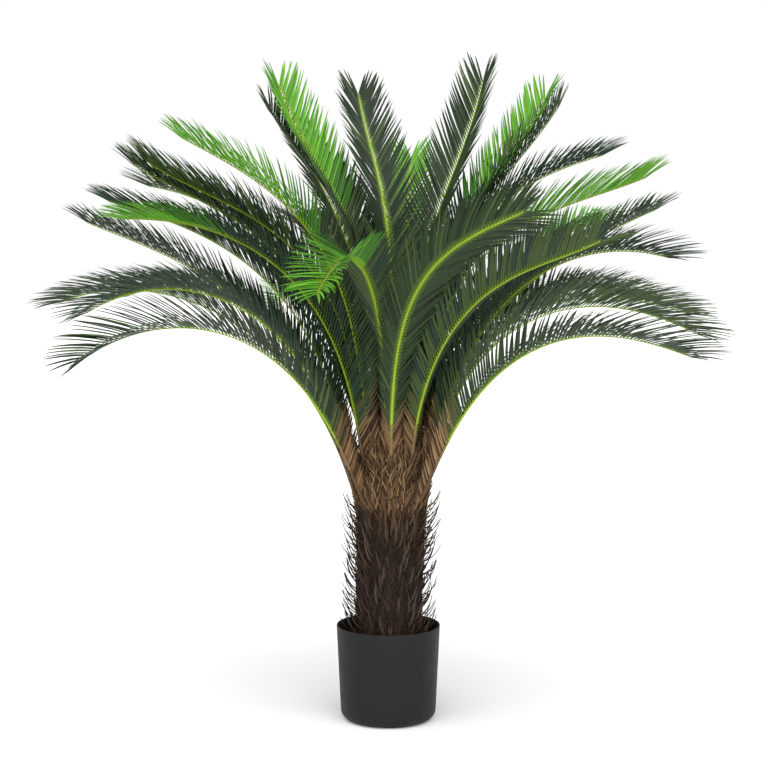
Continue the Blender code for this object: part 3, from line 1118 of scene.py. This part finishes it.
@dataclass
class Trunk:
    """Trunk of pressed fibre, wrapped in upright strips, with columns of hooked spikes.

    A pair of numbers is the least and the greatest of a random draw, unless it
    says otherwise.

    Attributes:
        foot: Height of the foot, on the cement.
        lean: How far the axis leans to +X per metre of height.
        lean_from: Height that it leans from.
        profile: Height and radius of the fibre core, foot to crown.
        neck: Height of the widest point, where strips and spikes cease to follow the core.
        core_facets: Columns of the core's relief.
        core_rows: Rows of the core's relief.
        relief: Depth of the core's folds.
        fold_layers: Waves that are laid over each other to make the folds.
        fold_counts: Folds round the core in one layer.
        fold_wander: How far a fold wanders sideways, in radians of its own wave.
        fold_pitch: How fast it wanders, in radians per metre of height.
        fold_fade: Height over which the folds begin at the foot, and end at the top.
        dome: How far the middle of the top is raised.
        brown_limits: Chance of the first brown, and of the first or the second.
        warm: Heights where the warm brown begins and where it is full.
        tan: The same for the tan.
        most_tan: Greatest chance of the tan.
        under_limit: Chance of the lighter brown on the strips under the spikes.
        under_warm: Heights where their warm brown begins and where it is fullest.
        most_under_warm: Greatest chance of it.
        tiers: Lowest and highest point of each tier of strips.
        strips: Strips in one tier.
        strip_points: Points along a strip.
        strip_ends: Greatest change of the height of a strip's foot, and of its top.
        strip_shift: Greatest shift of a strip round the trunk, in strips.
        strip_sway: How far a strip sways sideways, in radians round the trunk.
        strip_waves: Angle that its sway runs through from foot to top, in radians.
        strip_away: Distance from the core at the foot, of a strip and of its leaflets.
        strip_loose: How much further off they stand at the top.
        strip_half_widths: Half width of a strip at shares of its length.
        spacing: Distance between leaflets on one side of a strip.
        leaflet_spread: Angle of a strip's leaflet sideways from upright, in degrees.
        leaflet_tilt: The same outwards.
        leaflet_length: Length of it.
        leaflet_width: Width of it.
        leaflet_bend: Spread of its random bend.
        spike_columns: Columns of hooked spikes round the trunk.
        spike_spacing: Distance between the spikes of a column.
        spike_scatter: Spread of a spike's height, and of its azimuth in radians.
        column_sway: How far a column sways, in radians round the trunk.
        column_waves: Angle of the sway's wave per metre of height, and per column.
        spike_tilt: Angle of a spike outwards from upright, in degrees.
        spike_lean: Spread of its lean sideways, in degrees.
        spike_length: Length of a spike.
        spike_width: Width of a spike.
        spike_rise: How far the tip of a spike hooks up, as a share of its length.
        spike_return: How far it hooks back to the trunk.
        spike_away: Distance of a spike's root from the core.
        spikes_from: Height of the lowest spikes.
        spikes_to: Height of the highest spikes.
        base_scales: Loose leaf bases between the stalks.
        base_heights: Height of a leaf base.
        base_flare: Greatest distance that it stands off, per metre above the lowest.
        base_depth: How deep it is rooted in the core.
        base_tilt: Angle of a leaf base outwards from upright, in degrees.
        base_spread: The same sideways.
        base_length: Length of a leaf base.
        base_width: Width of a leaf base.
        base_bend: Spread of its random bend.
        strip_shape: Outline and section of a strip's leaflets and of a leaf base.
        spike_shape: Outline and section of a spike.
    """

    foot: float = 0.1253
    lean: float = 0.02
    lean_from: float = 0.125
    profile: tuple[tuple[float, float], ...] = (
        (0.1253, 0.0600), (0.235, 0.0585), (0.330, 0.0600), (0.430, 0.0650),
        (0.465, 0.0570), (0.505, 0.0430), (0.545, 0.0260), (0.556, 0.0120),
    )
    neck: float = 0.43
    core_facets: int = 200
    core_rows: int = 110
    relief: float = 0.0022
    fold_layers: int = 14
    fold_counts: tuple[int, int] = (9, 45)
    fold_wander: tuple[float, float] = (1.2, 4.8)
    fold_pitch: tuple[float, float] = (18.0, 55.0)
    fold_fade: tuple[float, float] = (0.01, 0.02)
    dome: float = 0.003
    brown_limits: tuple[float, float] = (0.42, 0.70)
    warm: tuple[float, float] = (0.30, 0.43)
    tan: tuple[float, float] = (0.40, 0.47)
    most_tan: float = 0.75
    under_limit: float = 0.6
    under_warm: tuple[float, float] = (0.34, 0.44)
    most_under_warm: float = 0.8
    tiers: tuple[tuple[float, float], ...] = (
        (0.128, 0.262), (0.205, 0.345), (0.285, 0.425), (0.355, 0.480),
    )
    strips: int = 21
    strip_points: int = 14
    strip_ends: tuple[float, float] = (0.008, 0.018)
    strip_shift: float = 0.25
    strip_sway: tuple[float, float] = (0.02, 0.07)
    strip_waves: tuple[float, float] = (2.0, 5.0)
    strip_away: tuple[float, float] = (0.0010, 0.0008)
    strip_loose: float = 0.003
    strip_half_widths: tuple[tuple[float, float], ...] = (
        (0.0, 0.0016), (0.8, 0.0013), (1.0, 0.0006),
    )
    spacing: float = 0.0085
    leaflet_spread: tuple[float, float] = (14.0, 34.0)
    leaflet_tilt: tuple[float, float] = (1.0, 6.0)
    leaflet_length: tuple[float, float] = (0.030, 0.050)
    leaflet_width: tuple[float, float] = (0.0032, 0.0050)
    leaflet_bend: float = 0.0016
    spike_columns: int = 18
    spike_spacing: float = 0.0128
    spike_scatter: tuple[float, float] = (0.0018, 0.045)
    column_sway: float = 0.10
    column_waves: tuple[float, float] = (23.0, 1.9)
    spike_tilt: tuple[float, float] = (54.0, 80.0)
    spike_lean: float = 17.0
    spike_length: tuple[float, float] = (0.042, 0.057)
    spike_width: tuple[float, float] = (0.0042, 0.0054)
    spike_rise: tuple[float, float] = (0.42, 0.58)
    spike_return: tuple[float, float] = (0.24, 0.38)
    spike_away: float = 0.001
    spikes_from: float = 0.150
    spikes_to: float = 0.425
    base_scales: int = 3600
    base_heights: tuple[float, float] = (0.400, 0.548)
    base_flare: float = 0.22
    base_depth: float = 0.001
    base_tilt: tuple[float, float] = (5.0, 22.0)
    base_spread: tuple[float, float] = (8.0, 26.0)
    base_length: tuple[float, float] = (0.021, 0.037)
    base_width: tuple[float, float] = (0.0021, 0.0030)
    base_bend: float = 0.0025
    strip_shape: BladeShape = BladeShape(
        stations=(0.0, 0.30, 0.66, 0.90),
        widths=(0.85, 1.00, 0.66, 0.30),
        keel=0.30,
        thickness=0.0008,
    )
    spike_shape: BladeShape = BladeShape(
        stations=(0.0, 0.22, 0.46, 0.70, 0.88),
        widths=(0.90, 1.00, 0.90, 0.66, 0.40),
        keel=0.10,
        thickness=0.0022,
    )

    def axis(self, height: Array) -> Array:
        """Return points of the trunk's axis at some heights."""
        x = self.lean * (height - self.lean_from)
        return np.stack([x, np.zeros_like(x), height], axis=-1)

    def radius(self, height: Array) -> Array:
        """Return the core's radius at some heights."""
        return read(self.profile, height)

    def core(self) -> bpy.types.Object:
        """Build the core with folds of fibre that run up it.

        Returns:
            The core's piece.
        """
        rng = np.random.default_rng(SEEDS["core"])
        top = self.profile[-1][0]
        heights = np.linspace(self.foot, top, self.core_rows)
        turn = np.arange(self.core_facets) * math.tau / self.core_facets
        rise, round_ = np.meshgrid(heights, turn, indexing="ij")
        folds = np.zeros_like(rise)
        for _ in range(self.fold_layers):
            count = int(rng.integers(*self.fold_counts, endpoint=True))
            wander = rng.uniform(*self.fold_wander)
            pitch = rng.uniform(*self.fold_pitch)
            phases = rng.uniform(0.0, math.tau, 2)
            path = round_ + wander / count * np.sin(pitch * rise + phases[0])
            folds += np.sin(count * path + phases[1]) / math.sqrt(count)
        folds = folds / np.abs(folds).max()
        foot_fade, top_fade = self.fold_fade
        fade = smooth_step((rise - self.foot) / foot_fade) * smooth_step((top - rise) / top_fade)
        out, _ = level_vectors(round_)
        points = self.axis(rise) + out * (self.radius(rise) + self.relief * folds * fade)[..., None]
        poles = self.axis(np.array([self.foot, top + self.dome]))
        sheaf = Sheaf()
        points = np.concatenate([points.reshape(-1, 3), poles])
        sheaf.add_plain(points, capped_faces(self.core_rows, self.core_facets), TRUNK_CORE)
        return sheaf.to_object("trunk_core")

    def frames(self, azimuth: Array, height: Array, radius: Array) -> tuple[Array, ...]:
        """Return points on the trunk with their outward and sideways vectors."""
        out, side = level_vectors(azimuth)
        return self.axis(height) + out * radius[..., None], out, side

    def shade(self, sheaf: Sheaf, height: Array, rng: np.random.Generator) -> Array:
        """Deal out browns by height: grey umber low down and tan at the head."""
        indexes = np.array([sheaf.index(finish) for finish in TRUNK_BROWNS])
        chance = rng.random(len(height))
        first, second = self.brown_limits
        choice = np.where(chance < first, 0, np.where(chance < second, 1, 2))
        warm = rising(height, self.warm)
        choice = np.where(rng.random(len(height)) < warm, 3, choice)
        tan = rising(height, self.tan) * self.most_tan
        choice = np.where(rng.random(len(height)) < tan, 4, choice)
        return indexes[choice]

    def under_shade(self, sheaf: Sheaf, height: Array, rng: np.random.Generator) -> Array:
        """Deal out the browns of the strips under the spikes, darkened as painted shade of the
        hollows there.
        """
        indexes = np.array([sheaf.index(finish) for finish in UNDER_BROWNS_AND_SHADE])
        warm = rising(height, self.under_warm) * self.most_under_warm
        choice = np.where(rng.random(len(height)) < self.under_limit, 1, 0)
        choice = np.where(rng.random(len(height)) < warm, 2, choice)
        return indexes[choice]

    def wrap(self) -> bpy.types.Object:
        """Build the tiers of strips, each a thin bar with leaflets on both sides.

        Returns:
            The strips' piece.
        """
        sheaf = Sheaf()
        rng = np.random.default_rng(SEEDS["strips"])
        for tier in range(len(self.tiers)):
            for strip in range(self.strips):
                self.add_strip(sheaf, rng, tier, strip)
        return sheaf.to_object("trunk_strips")

    def add_strip(
        self, sheaf: Sheaf, rng: np.random.Generator, tier: int, strip: int
    ) -> None:
        """Add one strip of a tier.

        Args:
            sheaf: The mesh that takes it.
            rng: Source of the variation.
            tier: Number of the tier. The strips of the lowest all start level.
            strip: Number of the strip.
        """
        low, high = self.tiers[tier]
        foot_change, top_change = self.strip_ends
        low += rng.uniform(-foot_change, foot_change) if tier else 0.0
        high += rng.uniform(-top_change, top_change)
        shift = rng.uniform(-self.strip_shift, self.strip_shift)
        azimuth = (strip + 0.5 * (tier % 2) + shift) / self.strips * math.tau
        heights = np.linspace(low, high, self.strip_points)
        share = (heights - low) / (high - low)
        sway = rng.uniform(*self.strip_sway)
        sway = sway * np.sin(share * rng.uniform(*self.strip_waves) + strip)
        bar_away, leaflet_away = self.strip_away
        away = bar_away + self.strip_loose * share**2
        radius = self.radius(np.minimum(heights, self.neck)) + away
        points, out, side = self.frames(azimuth + sway, heights, radius)
        half = read(self.strip_half_widths, share)
        bar = self.under_shade(sheaf, np.full(1, high), rng)[0]
        bars = np.full(self.strip_points - 1, bar)
        add_tube(sheaf, points, side, out, half, bars, facets=4)
        rows = int((high - low) / self.spacing)
        base = low + self.spacing * (np.arange(rows) + rng.uniform(0.0, 1.0))
        base = np.repeat(base, 2)
        sign = np.tile([1.0, -1.0], rows)
        number = len(base)
        share = np.clip((base - low) / (high - low), 0.0, 1.0)
        sway = np.interp(base, heights, sway)
        away = leaflet_away + self.strip_loose * share**2
        radius = self.radius(np.minimum(base, self.neck)) + away
        root, out, side = self.frames(azimuth + sway, base, radius)
        spread = np.radians(rng.uniform(*self.leaflet_spread, number)) * sign
        tilt = np.radians(rng.uniform(*self.leaflet_tilt, number))
        ways = splayed(out, side, tilt, spread)
        lengths = rng.uniform(*self.leaflet_length, number)
        widths = rng.uniform(*self.leaflet_width, number)
        bends = rng.normal(0.0, self.leaflet_bend, (number, 3))
        finishes = self.under_shade(sheaf, base, rng)
        blades = Blades(root, ways, out, lengths, widths, bends, finishes)
        blades.add_to(sheaf, self.strip_shape)

    def spikes(self) -> bpy.types.Object:
        """Build the hooked spikes, which go out and then curve up, in columns.

        Returns:
            The spikes' piece.
        """
        sheaf = Sheaf()
        rng = np.random.default_rng(SEEDS["spikes"])
        rows = int((self.spikes_to - self.spikes_from) / self.spike_spacing)
        column, row = np.divmod(np.arange(self.spike_columns * rows), rows)
        number = len(column)
        height_scatter, turn_scatter = self.spike_scatter
        height = self.spikes_from + self.spike_spacing * (row + (column % 2) * 0.5)
        height = height + rng.normal(0.0, height_scatter, number)
        per_metre, per_column = self.column_waves
        sway = self.column_sway * np.sin(height * per_metre + column * per_column)
        azimuth = column * math.tau / self.spike_columns + sway
        azimuth = azimuth + rng.normal(0.0, turn_scatter, number)
        radius = self.radius(np.minimum(height, self.neck)) + self.spike_away
        root, out, side = self.frames(azimuth, height, radius)
        tilt = np.radians(rng.uniform(*self.spike_tilt, number))
        lean = np.radians(rng.normal(0.0, self.spike_lean, number))
        ways = splayed(out, side, tilt, lean)
        lengths = rng.uniform(*self.spike_length, number)
        widths = rng.uniform(*self.spike_width, number)
        bends = UP * (lengths * rng.uniform(*self.spike_rise, number))[:, None]
        bends = bends - out * (lengths * rng.uniform(*self.spike_return, number))[:, None]
        finishes = self.shade(sheaf, height, rng)
        facing = np.broadcast_to(UP, root.shape)
        blades = Blades(root, ways, facing, lengths, widths, bends, finishes)
        blades.add_to(sheaf, self.spike_shape)
        return sheaf.to_object("trunk_spikes")

    def bases(self) -> bpy.types.Object:
        """Build the loose leaf bases that fill the head between the stalks.

        Returns:
            The leaf bases' piece.
        """
        sheaf = Sheaf()
        rng = np.random.default_rng(SEEDS["bases"])
        number = self.base_scales
        height = rng.uniform(*self.base_heights, number)
        azimuth = rng.uniform(0.0, math.tau, number)
        flare = (height - self.base_heights[0]) * rng.uniform(0.0, self.base_flare, number)
        radius = self.radius(height) - self.base_depth + flare
        root, out, side = self.frames(azimuth, height, radius)
        tilt = np.radians(rng.uniform(*self.base_tilt, number))
        spread = rng.uniform(*self.base_spread, number) * rng.choice([-1.0, 1.0], number)
        ways = splayed(out, side, tilt, np.radians(spread))
        lengths = rng.uniform(*self.base_length, number)
        widths = rng.uniform(*self.base_width, number)
        bends = rng.normal(0.0, self.base_bend, (number, 3))
        finishes = leaf_base_browns(sheaf, number, rng)
        blades = Blades(root, ways, out, lengths, widths, bends, finishes)
        blades.add_to(sheaf, self.strip_shape)
        return sheaf.to_object("trunk_leaf_bases")

    def build(self) -> None:
        """Build the core, the strips round it and the leaf bases on its head."""
        settle(self.core(), ["trunk"], sharp_deg=70.0)
        settle(self.wrap(), [])
        settle(self.spikes(), [])
        settle(self.bases(), [])


# Pot


@dataclass
class Pot:
    """Thin round pot with a rounded lower edge, and the cement in it.

    Attributes:
        height: Height of the rim.
        rim_radius: Outside radius at the rim.
        foot_radius: Outside radius of the side carried down to the floor.
        edge_radius: Radius of the rounded lower edge.
        wall: Thickness of the side.
        floor: Thickness of the bottom.
        fill_top: Height of the cement's top.
        fill_gap: Gap between the cement and the pot.
        facets: Faces round the pot.
        edge_steps: Steps of the rounded edge.
        rim_steps: Steps over the rounded rim.
        side_steps: Steps up the straight side.
        fill_rings: Rings of points on the cement's top.
        fill_facets: Faces round the cement.
        swell: Height of the waves on the cement's top.
        sunk: How far they are sunk, which keeps them under the cement's full height.
    """

    height: float = 0.185
    rim_radius: float = 0.100
    foot_radius: float = 0.0915
    edge_radius: float = 0.020
    wall: float = 0.0025
    floor: float = 0.003
    fill_top: float = 0.125
    fill_gap: float = 0.0003
    facets: int = 160
    edge_steps: int = 10
    rim_steps: int = 6
    side_steps: int = 6
    fill_rings: int = 24
    fill_facets: int = 96
    swell: float = 0.0005
    sunk: float = 0.0003

    def outer_radius(self, height: float) -> float:
        """Return the outside radius of the straight side at a height."""
        share = height / self.height
        return self.foot_radius + (self.rim_radius - self.foot_radius) * share

    def edge(self, inset: float) -> list[tuple[float, float]]:
        """Return points down the rounded edge, moved inwards by an inset."""
        centre = self.outer_radius(self.edge_radius) - self.edge_radius
        reach = self.edge_radius - inset
        angles = math.radians(90.0) * np.arange(self.edge_steps + 1) / self.edge_steps
        return [
            (centre + reach * math.cos(a), self.edge_radius - reach * math.sin(a)) for a in angles
        ]

    def side(
        self, start: tuple[float, float], end: tuple[float, float]
    ) -> list[tuple[float, float]]:
        """Return the points that cut a straight side, without its ends."""
        shares = [step / self.side_steps for step in range(1, self.side_steps)]
        return [
            (start[0] + (end[0] - start[0]) * share, start[1] + (end[1] - start[1]) * share)
            for share in shares
        ]

    def shell(self) -> bpy.types.Object:
        """Build the pot.

        Returns:
            The pot's piece.
        """
        lip = self.wall / 2.0
        middle = self.rim_radius - lip
        rim = [
            (middle - lip * math.cos(a), self.height - lip + lip * math.sin(a))
            for a in np.radians(np.linspace(0.0, 180.0, self.rim_steps + 1))
        ]
        inner = self.edge(self.floor)[::-1]
        outer = self.edge(0.0)
        profile = [(0.0, self.floor), *inner, *self.side(inner[-1], rim[0]), *rim]
        profile += [*self.side(rim[-1], outer[0]), *outer, (0.0, 0.0)]
        sheaf = Sheaf()
        turned_mesh(sheaf, profile[::-1], POT_BLACK, self.facets)
        return sheaf.to_object("pot_shell")

    def cement(self) -> bpy.types.Object:
        """Build the cement weight, with an uneven poured top.

        Returns:
            The cement's piece.
        """
        inner = self.edge(self.floor + self.fill_gap)
        start_radius, start_height = inner[0]
        share = (self.fill_top - start_height) / (self.height - start_height)
        rim = self.rim_radius - self.wall - self.fill_gap
        top_radius = start_radius + (rim - start_radius) * share
        top = self.fill_top - self.swell
        radii = np.linspace(0.004, top_radius - 0.001, self.fill_rings)
        profile = [(0.0, top), *((r, top) for r in radii), (top_radius, top - 0.001)]
        profile += [*inner, (0.0, self.floor + self.fill_gap)]
        sheaf = Sheaf()
        turned_mesh(sheaf, profile[::-1], CEMENT, self.fill_facets)
        points = sheaf.points[0]
        upper = points[:, 2] > self.fill_top - 0.001
        x, y = points[upper, 0], points[upper, 1]
        broad = np.sin(x * 210.0 + 1.3) * np.sin(y * 170.0 + 0.4)
        fine = np.sin((x + y) * 390.0) * np.sin((x - y) * 330.0 + 2.0)
        points[upper, 2] += self.swell * (broad + 0.6 * fine) - self.sunk
        return sheaf.to_object("pot_weight")

    def build(self) -> None:
        """Build the pot and its weight."""
        settle(self.shell(), ["pot"], sharp_deg=50.0)
        settle(self.cement(), ["pot_cement_weight"], sharp_deg=50.0)


# Studio


@dataclass
class Studio:
    """Plain white floor, soft lights and the camera.

    Attributes:
        camera_place: Where the camera stands.
        camera_pitch: How far it looks down, in degrees.
        lens: Focal length in millimetres, on a sensor of 36 mm.
        floor_radius: Radius of the floor.
        wall_glow: Brightness of the white walls.
        ceiling_glow: Brightness of the ceiling.
        wall_top: Sine of the elevation where the wall ends and where the ceiling begins.
    """

    camera_place: tuple[float, float, float] = (-0.0083, -3.6, 1.016)
    camera_pitch: float = 5.77
    lens: float = 88.64
    floor_radius: float = 14.0
    wall_glow: float = 1.0
    ceiling_glow: float = 0.25
    wall_top: tuple[float, float] = (0.16, 0.55)

    def floor(self) -> None:
        """Lay the floor."""
        sheaf = Sheaf()
        facets = 96
        turn = np.arange(facets) * math.tau / facets
        rim = np.stack([np.cos(turn), np.sin(turn), np.zeros(facets)], -1)
        points = np.concatenate([rim * self.floor_radius, np.zeros((1, 3))])
        i = np.arange(facets)
        fan = np.stack([np.full(facets, facets), i, (i + 1) % facets], -1)
        sheaf.add(points, [(fan, np.full(facets, sheaf.index(FLOOR)))])
        sheaf.to_object("studio_floor")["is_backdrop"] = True

    def room(self) -> None:
        """Light the room: white walls round the floor and a dim ceiling."""
        world = bpy.data.worlds.new("white_room")
        world.use_nodes = True
        shading = Shading(world.node_tree, world.node_tree.nodes["Background"])
        height = shading.height(shading.place("Generated"))
        glows = (self.wall_glow, self.ceiling_glow)
        fade = shading.ranged(height, self.wall_top, glows, "SMOOTHSTEP")
        shading.shader.inputs["Color"].default_value = linear("#ffffff")
        shading.feed("Strength", fade)
        bpy.context.scene.world = world

    def sun(self, name: str, azimuth: float, rise: float, spread: float, power: float) -> None:
        """Add a broad distant light.

        Args:
            name: Name of the light.
            azimuth: Azimuth that it shines from, in degrees.
            rise: Elevation that it shines from.
            spread: Angle that its disc spans, which softens the shadows.
            power: Its power in watts per square metre.
        """
        data = bpy.data.lights.new(name, "SUN")
        data.energy = power
        data.angle = math.radians(spread)
        item = bpy.data.objects.new(name, data)
        bpy.context.scene.collection.objects.link(item)
        item.rotation_euler = (
            math.radians(90.0 - rise),
            0.0,
            math.radians(azimuth + 90.0),
        )

    def camera(self) -> None:
        """Set up the camera."""
        data = bpy.data.cameras.new("studio_camera")
        data.lens = self.lens
        data.sensor_width = 36.0
        item = bpy.data.objects.new("studio_camera", data)
        bpy.context.scene.collection.objects.link(item)
        item.location = self.camera_place
        item.rotation_euler = (math.radians(90.0 - self.camera_pitch), 0.0, 0.0)
        bpy.context.scene.camera = item

    def build(self) -> None:
        """Set up the floor, the lights and the camera."""
        self.camera()
        self.floor()
        self.room()
        self.sun("key_light", azimuth=250.0, rise=58.0, spread=100.0, power=3.3)
        self.sun("fill_light", azimuth=300.0, rise=38.0, spread=90.0, power=1.4)
        bpy.context.scene.view_settings.view_transform = "Standard"


def main() -> None:
    """Build the plant and the studio."""
    logging.basicConfig(level=logging.INFO, format="%(message)s")
    Studio().build()
    Pot().build()
    Trunk().build()
    Crown().build()
    low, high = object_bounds()
    boxes = {
        "cad": [list(cad_low), list(cad_high)],
        "visual": [list(low), list(high)],
    }
    LOG.info("packed box %s, visual box %s", boxes["cad"], boxes["visual"])


if __name__ == "__main__":
    main()
